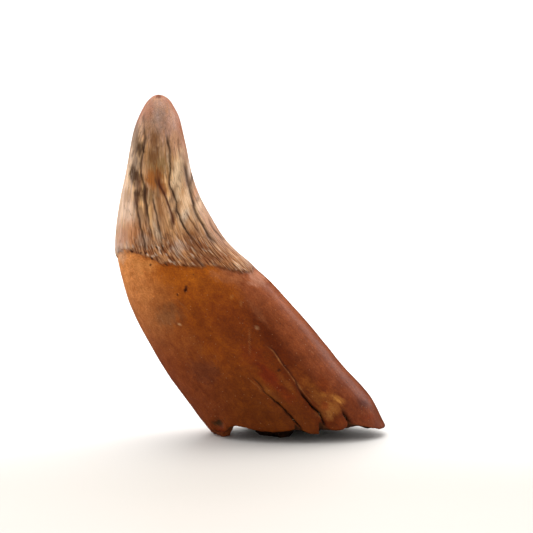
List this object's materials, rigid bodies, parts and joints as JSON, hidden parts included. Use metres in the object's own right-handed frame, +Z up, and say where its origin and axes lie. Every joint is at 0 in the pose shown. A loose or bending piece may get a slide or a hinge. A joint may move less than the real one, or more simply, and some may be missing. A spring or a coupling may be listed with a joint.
{
  "type": "fossil cave bear tooth",
  "caption": "Fossil cave bear canine standing on its broken root: a pale fissured enamel crown on a leaning, cracked brown root with an open pulp canal in the break.",
  "frame": {"origin": "the middle of the tooth's bounding box, on the surface it stands on", "axes": "+Z up towards the worn tip, +X from the convex edge of the curve to the concave edge, -Y the face with the long cracks"},
  "size_m": [0.0638, 0.0231, 0.0803],
  "materials": {
    "fossil_tooth": "polished red-brown fossil root, paler fissured enamel on the crown"
  },
  "bodies": {
    "root": {"cave_bear_tooth": "fossil_tooth"}
  },
  "joints": []
}
